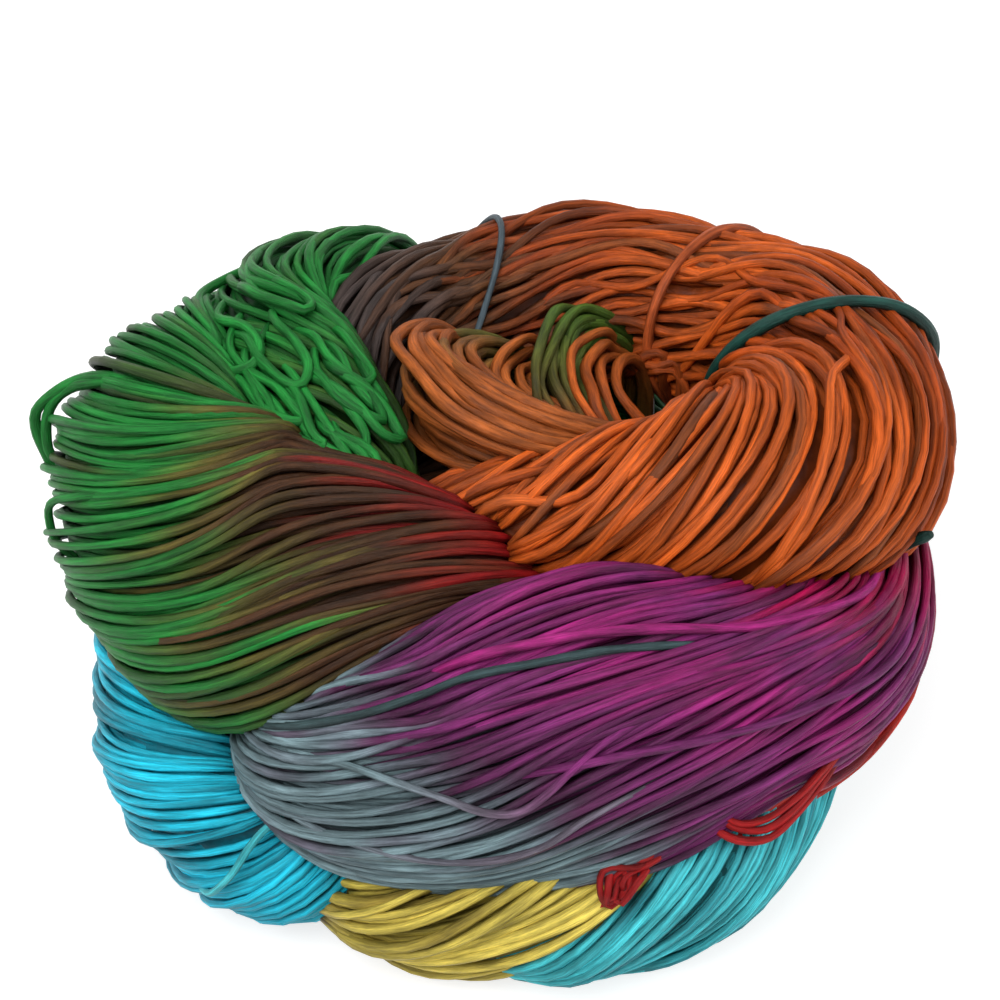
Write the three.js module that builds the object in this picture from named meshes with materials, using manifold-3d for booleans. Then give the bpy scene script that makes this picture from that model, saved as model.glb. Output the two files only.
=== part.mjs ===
// A skein of silk yarn. Its fat coils lie over and under one another around a small open eye,
// and three short lengths of yarn tie the top coil.
// Millimetres, +Z up. It rests on z = 0 with the origin under its middle, and its front is -Y.
import * as THREE from 'three';
import { mergeVertices } from 'three/addons/utils/BufferGeometryUtils.js';
import Module from 'manifold-3d';

const wasm = await Module();
wasm.setup();

// Driving dimensions.
const HEART = new THREE.Vector3(0, 0, 38); // the point that the coils wind around
const FOOTPRINT = new THREE.Vector3(0.26, 1.07, 0); // the middle of the coils' own footprint
const PRESSED = 1.5; // how far the lowest turns are pressed flat by the skein's weight
const FLUTE = 0.8; // depth of the troughs between the main strands
const SIDES_PER_FLUTE = 3; // a ridge and the two edges of a trough
const STEPS_PER_ROW = 3; // sections drawn for each row of a coil's table
const OUT_PULL = 0.5; // how much of the way a section's "out" side turns at each step
const ROUND_END = 0.05; // share of a coil's length that rounds off at each end
const GAP = 0.3; // clearance between a tie and the yarn under it
const TIE_STEPS = 28;
const TIE_SIDES = 6;
const TIE_HEIGHT = 0.3; // share of a tie's thickness by which its middle line clears the coil
const TIE_PASSES = 12; // corrections that bring each point of a tie on to its plane
const TIE_PACE = 0.035; // rows of the table moved in one pass for each millimetre off the plane
const SAME_CORNER = 1e-5; // corners nearer than this are one corner
const SURFACE = { side: 400, depth: 100 }; // the block under the skein that presses it flat

// The coils. A row is one section: its middle, its half width across the way out from the heart,
// its half thickness along that way, and the degrees by which the strands have twisted there.
const COLUMNS = ['x', 'y', 'z', 'wide', 'thick', 'twist'];
const COILS = {
  top: {
    flutes: 6,
    rows: [
      [-16, -6, 59, 7, 7, 0],
      [-2, -11, 63, 10, 9, 30],
      [15, -13, 66, 13, 12, 80],
      [31, -12, 67, 18, 18, 130],
      [45, -6, 65, 21, 21, 190],
      [53, 9, 64, 20, 20, 240],
      [50, 28, 64.5, 17, 17, 270],
      [36, 41, 64, 14.5, 14.5, 290],
      [17, 46, 65.5, 15, 15, 300],
      [-6, 41, 62.5, 14.5, 14.5, 310],
      [-21, 31, 63.5, 14, 14, 320],
      [-26, 16, 60, 12, 12, 330],
      [-18, 4, 50, 9, 9, 340],
    ],
  },
  inner: {
    flutes: 4,
    rows: [
      [24, -6, 66, 5, 5, 0],
      [8, -4, 69, 7, 7, 5],
      [-5, 3, 71, 8, 8, 10],
      [-9, 13, 71, 8, 8, 15],
      [-2, 20, 68, 7, 7, 20],
      [6, 18, 61, 6, 6, 25],
      [9, 11, 52, 6, 6, 30],
    ],
  },
  left: {
    flutes: 6,
    rows: [
      [10, -14, 52, 6, 5, 0],
      [-4, -20, 60, 11, 10, 5],
      [-18, -22, 61, 18, 14, 15],
      [-35.5, -19, 57, 25, 15.5, 25],
      [-49.5, -8.5, 57.5, 25, 14.7, 40],
      [-55.5, 10, 59.5, 22.5, 15.5, 60],
      [-49, 27, 56, 21, 15, 80],
      [-26, 44, 46, 20, 15, 100],
      [10, 48, 38, 16, 13, 115],
      [32, 40, 34, 10, 9, 125],
    ],
  },
  crest: {
    flutes: 5,
    rows: [
      [-15, -9, 60, 7, 7, 0],
      [-25, 0, 65, 12, 11, 20],
      [-36, 14, 67, 17, 13, 50],
      [-40, 31, 66, 17, 13, 90],
      [-29, 46, 58, 18, 14, 120],
      [-8, 52, 42, 13, 11, 140],
    ],
  },
  front: {
    flutes: 6,
    rows: [
      [-41, -26, 33, 6, 6, 0],
      [-34, -33, 34, 12, 11, 5],
      [-22, -39, 36, 20, 15, 10],
      [-4, -42, 40, 26, 17, 15],
      [15, -40, 46, 27.5, 18, 22],
      [34, -31, 46.5, 20.5, 18, 30],
      [49, -18, 43.5, 19.5, 17, 40],
      [54.5, 1, 43, 19, 14.5, 50],
      [50, 22, 40, 18, 14, 60],
      [31, 37, 37, 14, 14, 70],
    ],
  },
  base: {
    flutes: 5,
    rows: [
      [-14, -36, 20, 9, 8, 0],
      [-29, -38.5, 17.5, 14.5, 12.5, 5],
      [-40.5, -32.5, 19, 17.5, 14.5, 10],
      [-49.5, -19.5, 20.5, 18.5, 15, 20],
      [-52.5, 4, 22, 19, 14.5, 35],
      [-46, 28, 21, 18, 14, 50],
      [-24, 43, 19, 17, 13, 65],
      [6, 46, 18, 17, 13, 80],
      [32, 36, 18, 17, 13, 95],
      [44, 16, 18, 17, 14, 110],
      [45, -8, 18, 17, 13, 125],
      [39.5, -27, 19, 17, 12.8, 140],
      [30, -40.5, 17.5, 17, 13, 150],
      [15, -47.5, 15, 12.5, 11, 158],
      [-2, -52.5, 9, 8.5, 8.5, 165],
    ],
  },
  lap: {
    flutes: 5,
    rows: [
      [35, -33, 22, 8, 8, 0],
      [23, -39, 20, 12, 10, 5],
      [7, -46, 17.5, 15, 12, 10],
      [-11.5, -46.3, 14.2, 14, 11.7, 15],
      [-24.5, -39, 13, 10.5, 9, 20],
      [-36, -30, 11, 8, 8, 25],
    ],
  },
  edge: {
    flutes: 3,
    rows: [
      [52, 20, 30, 8, 8, 0],
      [61.7, -3, 31, 8, 7.6, 5],
      [58, -19, 31, 8, 7, 10],
      [47.5, -33.5, 31, 7.5, 6.5, 15],
      [33, -42.5, 30, 6.5, 6, 20],
      [14, -48, 24, 4, 4, 25],
    ],
  },
  middle: {
    flutes: 6,
    rows: [
      [-46, 2, 22, 24, 22, 0],
      [-28, 0, 22, 39, 33, 10],
      [-8, 1, 22, 45, 36, 20],
      [14, 2, 22, 45, 33, 30],
      [32, 2, 22, 39, 33, 40],
      [46, 2, 22, 24, 22, 50],
    ],
  },
};

// The ties, each a loop round the top coil where a plane cuts it: the row of the coil's table that
// the plane passes through, the plane's direction, and the tie's own thickness.
const TIES = {
  tie_dark_green: { row: 5.7, facing: [-0.2, 0.94, 0.27], across: 2.3, color: 0x1f4a42 },
  tie_rust: { row: 7, facing: [-0.72, 0.68, -0.14], across: 1.9, color: 0xa0501f },
  tie_grey: { row: 9.1, facing: [-0.9, 0, 0.44], across: 1.2, color: 0x4a5458 },
};

const radians = THREE.MathUtils.degToRad;

const material = (color, roughness) => new THREE.MeshStandardMaterial({ color, roughness, metalness: 0 });

// A smooth curve through three columns of a coil's table, a whole number of rows at even steps.
function column(coil, names) {
  const places = names.map((name) => COLUMNS.indexOf(name));
  const points = coil.rows.map((row) => new THREE.Vector3(...places.map((place) => row[place])));
  return new THREE.CatmullRomCurve3(points, false, 'catmullrom');
}

// The sections along a coil. Each looks along the coil, and its "out" side is carried from one
// section to the next while it turns towards the way out from the heart. A coil that holds the
// heart itself has no such way, and there the side is only carried.
function sections(coil) {
  const line = column(coil, ['x', 'y', 'z']);
  const sizes = column(coil, ['wide', 'thick', 'twist']);
  const steps = (coil.rows.length - 1) * STEPS_PER_ROW;
  const list = [];
  let out = new THREE.Vector3(0, 0, 1);
  for (let step = 0; step <= steps; step += 1) {
    const share = step / steps;
    const middle = line.getPoint(share);
    const along = line.getTangent(share);
    const [wide, thick, twist] = sizes.getPoint(share).toArray();
    const away = middle.clone().sub(HEART).normalize().projectOnPlane(along);
    const pull = middle.distanceTo(HEART) < thick ? 0 : OUT_PULL * away.lengthSq();
    out = out.projectOnPlane(along).normalize().multiplyScalar(1 - pull);
    out.add(away.normalize().multiplyScalar(pull)).projectOnPlane(along).normalize();
    const across = along.clone().cross(out);
    list.push({ middle, along, out: out.clone(), across, wide, thick, twist: radians(twist) });
  }
  return list;
}

// A point of a section's outline, raised above it by so many millimetres.
function outline(section, angle, raised) {
  return section.middle.clone()
    .addScaledVector(section.across, (section.wide + raised) * Math.cos(angle))
    .addScaledVector(section.out, (section.thick + raised) * Math.sin(angle));
}

// How much of its full size a section has, so that a coil ends in a rounded tip.
function fullness(share) {
  const fromEnd = Math.min(share, 1 - share, ROUND_END) / ROUND_END;
  return Math.sqrt(1 - (1 - fromEnd) ** 2);
}

// One closed coil: a ball's rings of corners are drawn out along the sections.
function coilGeometry(coil) {
  const list = sections(coil);
  const sides = coil.flutes * SIDES_PER_FLUTE;
  const geometry = new THREE.SphereGeometry(1, sides, list.length - 1);
  const corners = geometry.attributes.position;
  for (let index = 0; index < corners.count; index += 1) {
    const step = Math.floor(index / (sides + 1));
    const side = (index % (sides + 1)) % sides;
    const turn = (2 * Math.PI * side) / sides;
    const section = list[step];
    const full = fullness(step / (list.length - 1));
    const raised = FLUTE * Math.cos(coil.flutes * (turn - section.twist));
    const place = outline(section, turn, raised);
    place.sub(section.middle).multiplyScalar(full).add(section.middle);
    corners.setXYZ(index, place.x, place.y, place.z);
  }
  return geometry;
}

// The section at any place between a coil's rows.
function sectionAt(list, row) {
  const place = THREE.MathUtils.clamp(row * STEPS_PER_ROW, 0, list.length - 1);
  const low = Math.min(Math.floor(place), list.length - 2);
  const part = place - low;
  const blend = (name) => list[low][name].clone().lerp(list[low + 1][name], part);
  const mix = (name) => THREE.MathUtils.lerp(list[low][name], list[low + 1][name], part);
  return {
    middle: blend('middle'),
    along: blend('along').normalize(),
    out: blend('out').normalize(),
    across: blend('across').normalize(),
    wide: mix('wide'),
    thick: mix('thick'),
  };
}

// The line that a tie follows over the top coil's outline.
function tieRoute(tie) {
  const list = sections(COILS.top);
  const centre = sectionAt(list, tie.row).middle;
  const facing = new THREE.Vector3(...tie.facing).normalize();
  const points = [];
  for (let step = 0; step < TIE_STEPS; step += 1) {
    const angle = (2 * Math.PI * step) / TIE_STEPS;
    let row = tie.row;
    let place = new THREE.Vector3();
    for (let pass = 0; pass < TIE_PASSES; pass += 1) {
      place = outline(sectionAt(list, row), angle, TIE_HEIGHT * tie.across);
      row -= TIE_PACE * place.clone().sub(centre).dot(facing);
    }
    points.push(place);
  }
  return new THREE.CatmullRomCurve3(points, true, 'catmullrom');
}

// A closed loop of yarn on a tie's route: a ring's corners are moved on to it.
function loopGeometry(tie, radius) {
  const route = tieRoute(tie);
  const geometry = new THREE.TorusGeometry(1, radius, TIE_SIDES, TIE_STEPS);
  const corners = geometry.attributes.position;
  const facing = new THREE.Vector3(...tie.facing).normalize();
  for (let index = 0; index < corners.count; index += 1) {
    const side = Math.floor(index / (TIE_STEPS + 1)) % TIE_SIDES;
    const around = (2 * Math.PI * side) / TIE_SIDES;
    const share = ((index % (TIE_STEPS + 1)) % TIE_STEPS) / TIE_STEPS;
    const tangent = route.getTangent(share);
    const outward = tangent.clone().cross(facing).normalize();
    const sideways = outward.clone().cross(tangent).normalize();
    const place = route.getPoint(share)
      .addScaledVector(outward, radius * Math.cos(around))
      .addScaledVector(sideways, radius * Math.sin(around));
    corners.setXYZ(index, place.x, place.y, place.z);
  }
  return geometry;
}

function solidOf(geometry) {
  const bare = geometry.clone();
  bare.deleteAttribute('normal');
  bare.deleteAttribute('uv');
  const merged = mergeVertices(bare, SAME_CORNER);
  return new wasm.Manifold(new wasm.Mesh({
    numProp: 3,
    vertProperties: merged.attributes.position.array,
    triVerts: Uint32Array.from(merged.index.array),
  }));
}

function geometryOf(solid) {
  const mesh = solid.getMesh();
  const geometry = new THREE.BufferGeometry();
  geometry.setAttribute('position', new THREE.BufferAttribute(mesh.vertProperties, mesh.numProp));
  geometry.setIndex(new THREE.BufferAttribute(mesh.triVerts, 1));
  return geometry;
}

// The wound yarn as one solid: the coils joined, hidden pockets filled, the ties' grooves cut, and
// the foot flat where the lowest turns are pressed on the surface.
function skeinGeometry() {
  let yarn = Object.values(COILS)
    .map((coil) => solidOf(coilGeometry(coil)))
    .reduce((whole, coil) => whole.add(coil));
  for (const tie of Object.values(TIES)) {
    const groove = tie.across / 2 + GAP / Math.cos(Math.PI / TIE_SIDES);
    yarn = yarn.subtract(solidOf(loopGeometry(tie, groove)));
  }
  const { side, depth } = SURFACE;
  const surface = new THREE.BoxGeometry(side, side, depth).translate(0, 0, PRESSED - depth / 2);
  yarn = yarn.subtract(solidOf(surface));
  const bodies = yarn.decompose().sort((one, other) => other.volume() - one.volume());
  return geometryOf(bodies[0]);
}

const skein = new THREE.Group();
const yarn = new THREE.Mesh(skeinGeometry(), material(0x8a4a3a, 0.6));
yarn.name = 'skein';
skein.add(yarn);
for (const [name, tie] of Object.entries(TIES)) {
  const loop = new THREE.Mesh(loopGeometry(tie, tie.across / 2), material(tie.color, 0.6));
  loop.name = name;
  skein.add(loop);
}
skein.position.set(-FOOTPRINT.x, -FOOTPRINT.y, -PRESSED);

export default skein;
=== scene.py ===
import math

import bpy
import numpy as np
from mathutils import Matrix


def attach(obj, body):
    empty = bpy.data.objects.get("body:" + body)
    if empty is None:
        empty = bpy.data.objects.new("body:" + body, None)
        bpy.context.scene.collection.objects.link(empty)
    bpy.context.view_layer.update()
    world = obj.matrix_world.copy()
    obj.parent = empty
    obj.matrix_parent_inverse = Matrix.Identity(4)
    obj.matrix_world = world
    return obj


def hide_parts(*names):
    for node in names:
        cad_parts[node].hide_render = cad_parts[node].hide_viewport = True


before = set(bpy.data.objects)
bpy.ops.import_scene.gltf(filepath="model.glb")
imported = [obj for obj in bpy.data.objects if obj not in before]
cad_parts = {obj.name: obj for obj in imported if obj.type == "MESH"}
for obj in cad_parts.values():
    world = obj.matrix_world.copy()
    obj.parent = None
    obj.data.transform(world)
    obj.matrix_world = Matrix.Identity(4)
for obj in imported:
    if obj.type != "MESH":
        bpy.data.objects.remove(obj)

bl_info = {
    "name": "Skein of Silk Yarn",
    "version": (1, 0, 0),
    "blender": (4, 5, 0),
    "location": "3D View > Sidebar > Skein",
    "description": "Winds a dyed silk skein from single strands, with its ties",
    "category": "Add Mesh",
}

MM = 0.001
SEED = 20
HEART = np.array([0.0, 0.0, 38.0])  # the point that the coils wind around
FOOTPRINT = np.array([0.26, 1.07, 1.5])  # the middle of the foot, and how far it is pressed flat

# Along a coil.
STEPS_PER_ROW = 3  # sections that a coil's "out" side is carried over for each row of its table
FINE_STEPS = 600  # places at which a coil's length is measured
NUDGE = 0.01  # rows on each side of a place that give the way along the coil there
PULL = 0.5  # how firmly the "out" side is turned towards the way out from the heart
ROUND_END = 0.05  # share of a coil's length that rounds off at each end
LEAST_HALF = 0.5  # the smallest half width and half thickness of a section's face
LEAST_TIP = 0.1  # the same where a point is held against a coil's tip

# What other coils cover.
PROBE_STEP = 3.0  # distance between the sections that a point is held against
PROBE_REACH = 4.0  # a point further than this before or behind its nearest section is outside the coil
OWN_STRETCH = 60  # a strand is held against its own coil only further along than this
FAR = 1e6  # added to the squared distance of sections that don't count
CLEAR = -10.0  # the depth given where nothing is near
BURIED = 4.5  # a strand that runs deeper than this inside another coil isn't made
DIVE = 2.0  # how far a strand sinks where its coil goes under another
DIVE_DEPTHS = (-0.5, 3.5)  # the depths at which it starts to sink and has sunk fully

# A strand's shape.
WAVE_LENGTHS = (0.75, 1.3)  # how far a strand's own waves differ in length from what is asked
WAVE_HEIGHTS = (0.4, 1.2)  # the same for their height
STRAND_STEP = 2.6  # length of a strand between two rings of corners
UNDER_STEP = 0.6  # how much longer that is in each lower layer, as a share of it
LOOP_STEP = 1.3  # the same for loops and curls, which bend more tightly
LEAST_RINGS = 4  # rings of corners that the shortest of these has
LOOP_SPREAD = 0.2  # how far a loop starts from its even place, as a share of the distance between two
KNOT_STEPS = 12  # fine points for each point of a loose strand's run
STRAND_SIDES = (8, 5)  # corners round a strand of the upper and of the lower layer
LAY_CLEARS = 0.5  # how far the turns' own slant thins them out where a coil is twisted
LEAST_ROOM = 3  # strands that any section has room for
ROUND = 6.28  # a section's girth for its radius, by which a wander sideways becomes an angle
LEAST_RADIUS = 4  # the smallest such radius
LEAST_FULL = 0.35  # how small a coil's tip gets for its strands, as a share of its full size
START_SPREAD = 0.25  # how far a strand starts from its even place, as a share of the distance between two
EVEN_SPREAD = 0.37  # how far strands shift on a flat section, so that they keep an even distance
WANDER = ((75, 0.6), (33, 0.4))  # a strand's own waves to the side
RISE = ((45, 0.3), (24, 0.22))  # its own waves up and down
SWELL_SIDEWAYS = ((3, 160, 1.6), (5, 120, 0.9), (9, 90, 0.5))  # the waves that its neighbours share
SWELL_HEIGHT = ((4, 130, 0.45), (7, 100, 0.45), (11, 80, 0.35))
SUNK = 0.38  # how far in from the coil's face the middle of a strand lies, in yarn thicknesses
LAYER_DEPTH = 0.8  # how far each lower layer lies under the one above, in yarn thicknesses
CROWDED_DEPTH = 0.8  # how far a strand sinks where the coil has no room for it, in yarn thicknesses
CROWDED_MOST = 3  # the most of that
MOST_RAISED = 0.4  # how far a strand may stand out of the coil's face, in yarn thicknesses
PROUD = 0.1  # share of the strands that lie loosely over their neighbours
PROUD_HEIGHT = 0.35  # how much higher they lie, in yarn thicknesses
PROUD_WANDER = 1.5  # how much more they wander
YARN_SIZES = (0.8, 1.12)  # the thinnest and the thickest strand against the coil's yarn
LOOP_SIZES = (0.85, 1.1)  # the same for loose strands
THICK_AND_THIN = ((40, 0.1), (17, 0.09))  # waves of a strand's thickness, as a share of it
LOOP_THICK_AND_THIN = ((30, 0.08), (13, 0.06))
TIP = 0.55  # how thin a strand's two ends are
SMOOTHING = 6  # passes that even out how a strand sinks; its line has half as many
CUTOFF = 3  # rings of corners that the shortest piece of strand has
CORE_STEP = 5.0  # length of a core between two rings of corners
CORE_SIDES = 24
CORE_DEPTH = -2.2  # how far in from the coil's face its core lies, in yarn thicknesses
CORE_FULL = 0.2  # how small the core's tip gets, as a share of its full size

# A strand's dye, with painted shade in the cores and the lower layers.
CORE_PAINTED_SHADE = 0.4  # painted shade: how bright a core is against the dye of its strands, darkened for the shade in the gaps between them
UNDER_PAINTED_SHADE = 0.75  # painted shade: how bright the dye of each lower layer is against the one above, darkened for the shade under it
SHADES = (0.72, 1.12)  # the darkest and the brightest strand of a coil
LOOP_SHADES = (0.75, 1.1)  # the same for loose strands
DYE_DRIFT = ((60, 0.015),)  # waves of the dye's place, as a share of the coil's length
BLOTCHES = ((50, 0.3), (21, 0.25))  # waves of how much of the second dye shows
BLOTCH_LEVEL = (-0.15, 0.35)  # the middle and the spread of how blotched a strand is
BLOTCH_MOST = 0.75
STREAK_LENGTH = 10  # millimetres of a strand for one unit of its UV map
STREAK_SHIFT = 7.3  # how far apart the streaks of the first and the last strand start

# The ties.
TIE_STEPS = 60
TIE_PASSES = 12  # corrections that bring each point of a tie on to its plane
TIE_PACE = 0.035  # rows of the table moved in one pass for each millimetre off the plane
TIE_OVERLAP = 3  # points by which a closed tie runs over its own start

# The yarn's fibres and streaks, with painted highlights in the streaks and painted shade on its sides. Scales
# are round and along a strand. Shades are two values, and the brightness that the dye has at each.
STREAKS = {"scale": (2.0, 1.0, 1.0), "slant": 0.0, "detail": 3.0, "roughness": 0.5}
# streaks of tone along each strand, which also paint in the highlights and shade of its thick and thin places
STREAK_TONE_AND_PAINTED_LIGHT = (0.3, 0.7, 0.65, 1.3)
FIBRES = {"scale": (11.0, 1.6, 1.0), "slant": 0.12, "detail": 4.0, "roughness": 0.7}
FIBRE_SHADES = (0.3, 0.7, 0.6, 1.35)
FIBRE_HEIGHT = 0.0004
PAINTED_RIM_SHADES = (0.03, 0.27, 1.05, 0.62)  # painted shade by the turns from a strand's outer side, so that its sides darken as if shaded by their neighbours

# The stage.
FLOOR_SIZE = 12.0
FLOOR_GLOW = 0.73  # added where the floor is seen itself, so that it looks white
FLOOR_ROUGHNESS = 0.9
AIM = np.array([0.0, 0.0, 58.0])  # where the camera and the lamps point
KEY_LAMP = {"place": (-0.35, -0.55, 0.95), "size": 0.7}
FILL_LAMP = {"place": (0.7, -0.35, 0.5), "size": 0.6}
SENSOR = 36.0
NEAREST = 0.01  # nearer than this to the camera nothing is drawn


def srgb(red, green, blue):
    """A dye given as 0 to 255 a channel, as the linear colour that a shader takes."""
    return tuple(((part / 255 + 0.055) / 1.055) ** 2.4 for part in (red, green, blue))


# The dye bath: name, colour.
DYES = {
    "orange": srgb(208, 94, 30),
    "ember": srgb(166, 68, 18),
    "rust": srgb(152, 64, 24),
    "brown": srgb(94, 57, 30),
    "charcoal": srgb(66, 55, 52),
    "green": srgb(30, 126, 50),
    "moss": srgb(52, 88, 30),
    "olive": srgb(94, 86, 36),
    "fern": srgb(72, 100, 34),
    "bark": srgb(70, 42, 22),
    "red": srgb(142, 20, 22),
    "crimson": srgb(176, 28, 30),
    "scarlet": srgb(232, 52, 36),
    "purple": srgb(124, 40, 106),
    "magenta": srgb(150, 32, 108),
    "rose": srgb(160, 12, 72),
    "plum": srgb(80, 36, 70),
    "grey": srgb(120, 144, 150),
    "slate": srgb(56, 76, 78),
    "ash": srgb(112, 104, 118),
    "blue": srgb(34, 194, 222),
    "teal": srgb(80, 212, 222),
    "sea": srgb(26, 120, 136),
    "yellow": srgb(218, 196, 88),
    "mustard": srgb(140, 116, 42),
    "amber": srgb(168, 88, 36),
    "bottle": srgb(24, 66, 58),
    "copper": srgb(176, 82, 38),
    "steel": srgb(74, 88, 96),
}

# The coils, in millimetres. A row is one section: its middle, its half width across the way out
# from the heart, its half thickness along that way, and the degrees that its strands have twisted.
# "pitch" is the room for a strand in yarn thicknesses, "mess" how untidily the strands lie, "vary"
# how much the dye's place differs between strands, "second" the dye of the blotches, "lean" how the
# dye's place shifts round the coil, and "bulge" the row, spread and height of turns that stand out.
COLUMNS = ("x", "y", "z", "wide", "thick", "twist")
COILS = {
    "top": {
        "yarn": 1.8, "pitch": 1.05, "mess": 3.4, "vary": 0.025, "second": "brown",
        "dyes": (
            (0.0, "rust"), (0.12, "orange"), (0.3, "orange"), (0.38, "ember"), (0.45, "ember"),
            (0.52, "orange"), (0.58, "orange"), (0.67, "rust"), (0.76, "brown"), (0.86, "charcoal"),
        ),
        "lean": 0, "bulge": (5, 1, 0),
        "rows": (
            (-16, -6, 59, 7, 7, 0),
            (-2, -11, 63, 10, 9, 55),
            (15, -13, 66, 13, 12, 125),
            (31, -12, 67, 18, 18, 210),
            (45, -6, 65, 21, 21, 300),
            (53, 9, 64, 20, 20, 370),
            (50.5, 28.5, 65, 17.5, 17.5, 410),
            (36, 40.3, 64, 14.9, 14.9, 432),
            (17, 46, 65.5, 15, 15, 446),
            (-6, 41, 62.5, 14.5, 14.5, 458),
            (-21, 31.5, 64.3, 14.3, 14.3, 470),
            (-26, 16, 60, 12, 12, 482),
            (-18, 4, 50, 9, 9, 494),
        ),
    },
    "inner": {
        "yarn": 2.1, "pitch": 1.9, "mess": 1.3, "vary": 0.03, "second": "brown",
        "dyes": ((0.0, "amber"), (0.45, "amber"), (0.65, "olive"), (1.0, "moss")),
        "lean": 0, "bulge": (3, 1, 1.5),
        "rows": (
            (24, -6, 66, 5, 5, 0),
            (8, -4, 69, 7, 7, 5),
            (-5, 3, 71, 8, 8, 10),
            (-9, 13, 71, 8, 8, 15),
            (-2, 20, 68, 7, 7, 20),
            (6, 18, 61, 6, 6, 25),
            (9, 11, 52, 6, 6, 30),
        ),
    },
    "left": {
        "yarn": 1.55, "pitch": 1.05, "mess": 0.9, "vary": 0.035, "second": "bark",
        "dyes": (
            (0.0, "crimson"), (0.07, "red"), (0.13, "bark"), (0.19, "bark"), (0.25, "olive"), (0.31, "green"),
        ),
        "lean": 0.045, "bulge": (4.8, 0.5, 3),
        "rows": (
            (10, -14, 52, 6, 5, 0),
            (-4, -20, 60, 11, 10, 5),
            (-18, -22, 61, 18, 14, 15),
            (-35.5, -19, 57, 25, 15.5, 33),
            (-49.5, -8.5, 57.5, 25, 15.5, 70),
            (-55.5, 10, 59.5, 22.5, 16.5, 130),
            (-49, 27, 56, 21, 15, 190),
            (-26, 44, 46, 20, 15, 240),
            (10, 48, 38, 16, 13, 272),
            (32, 40, 34, 10, 9, 292),
        ),
    },
    "crest": {
        "yarn": 1.65, "pitch": 1.05, "mess": 1.9, "vary": 0.03, "second": "moss",
        "dyes": ((0.0, "moss"), (0.16, "moss"), (0.34, "green"), (1.0, "green")),
        "lean": 0, "bulge": (3, 2, 0.5),
        "rows": (
            (-15, -9, 60, 7, 7, 0),
            (-25, 0, 65, 12, 11, 20),
            (-36, 14, 67, 17, 13, 50),
            (-39.5, 30.5, 65.5, 16.5, 12.6, 90),
            (-27, 46.5, 59, 18, 14, 120),
            (-8, 52, 42, 13, 11, 140),
        ),
    },
    "front": {
        "yarn": 1.45, "pitch": 1.05, "mess": 0.9, "vary": 0.03, "second": "plum",
        "dyes": (
            (0.0, "grey"), (0.24, "grey"), (0.32, "plum"), (0.4, "purple"), (0.5, "magenta"),
            (0.58, "purple"), (0.68, "rose"), (0.82, "rose"), (1.0, "purple"),
        ),
        "lean": 0.12, "bulge": (7, 1, 1),
        "rows": (
            (-41, -26, 33, 6, 6, 0),
            (-34, -33, 34, 12, 11, 5),
            (-22, -39, 36, 20, 15, 10),
            (-4, -42, 40, 26, 17, 15),
            (15, -40, 46, 27.5, 18, 22),
            (34, -31, 46.5, 20.5, 18, 30),
            (49, -18, 43.5, 19.5, 17, 40),
            (54.5, 1, 43, 19, 14.5, 50),
            (50, 22, 40, 18, 14, 60),
            (31, 37, 37, 14, 14, 70),
        ),
    },
    "base": {
        "yarn": 1.6, "pitch": 1.05, "mess": 0.9, "vary": 0.03, "second": "sea",
        "dyes": ((0.0, "blue"), (0.6, "blue"), (0.75, "teal"), (1.0, "teal")),
        "lean": 0, "bulge": (3.5, 0.8, 0.5),
        "rows": (
            (-14, -36, 20, 9, 8, 0),
            (-29, -38.5, 17.5, 14.5, 12.5, 45),
            (-40.5, -32.5, 19, 17.5, 14.5, 95),
            (-49.5, -19.5, 20.5, 18.5, 15, 150),
            (-52.5, 4, 22, 19, 14.5, 210),
            (-46, 28, 21, 18, 14, 250),
            (-24, 43, 19, 17, 13, 280),
            (6, 46, 18, 17, 13, 300),
            (32, 36, 18, 17, 13, 320),
            (44, 16, 18, 17, 14, 345),
            (45, -8, 18, 17, 13, 385),
            (39.5, -27, 19, 17, 12.8, 440),
            (30, -40.5, 17.5, 17, 13, 505),
            (15, -48, 14.5, 12.5, 11.5, 560),
            (-2, -53.3, 9, 8.5, 9, 600),
        ),
    },
    "lap": {
        "yarn": 1.8, "pitch": 1.05, "mess": 1, "vary": 0.03, "second": "mustard",
        "dyes": ((0.0, "yellow"), (0.72, "yellow"), (0.88, "plum")),
        "lean": 0.04, "bulge": (3, 1, 0),
        "rows": (
            (35, -33, 22, 8, 8, 0),
            (24.5, -41.5, 22, 12, 10.5, 25),
            (8.5, -47, 18.5, 15, 12, 60),
            (-11.5, -46.3, 14.2, 14, 11.7, 95),
            (-24.5, -39, 13, 10.5, 9, 125),
            (-36, -30, 11, 8, 8, 150),
        ),
    },
    "edge": {
        "yarn": 1.6, "pitch": 1.05, "mess": 1, "vary": 0.03, "second": "plum",
        "dyes": ((0.1, "rose"), (0.25, "scarlet"), (1.0, "scarlet")),
        "lean": 0.1, "bulge": (2, 1, 0),
        "rows": (
            (52, 20, 30, 8, 8, 0),
            (61.7, -3, 31, 8, 7.6, 5),
            (57, -18.4, 31, 8, 6.4, 10),
            (46.3, -32.6, 31, 7.5, 5.8, 15),
            (33, -42.5, 30, 6.5, 6, 20),
            (14, -48, 24, 4, 4, 25),
        ),
    },
    "middle": {
        "yarn": 2.2, "pitch": 1.2, "mess": 1.5, "vary": 0.03, "second": "charcoal",
        "dyes": ((0.0, "charcoal"), (0.5, "brown"), (1.0, "charcoal")),
        "lean": 0, "bulge": (2, 1, 0),
        "rows": (
            (-46, 2, 22, 24, 22, 0),
            (-28, 0, 22, 39, 33, 10),
            (-8, 1, 22, 45, 36, 20),
            (14, 2, 22, 45, 33, 30),
            (32, 2, 22, 39, 33, 40),
            (46, 2, 22, 24, 22, 50),
        ),
    },
}

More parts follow.
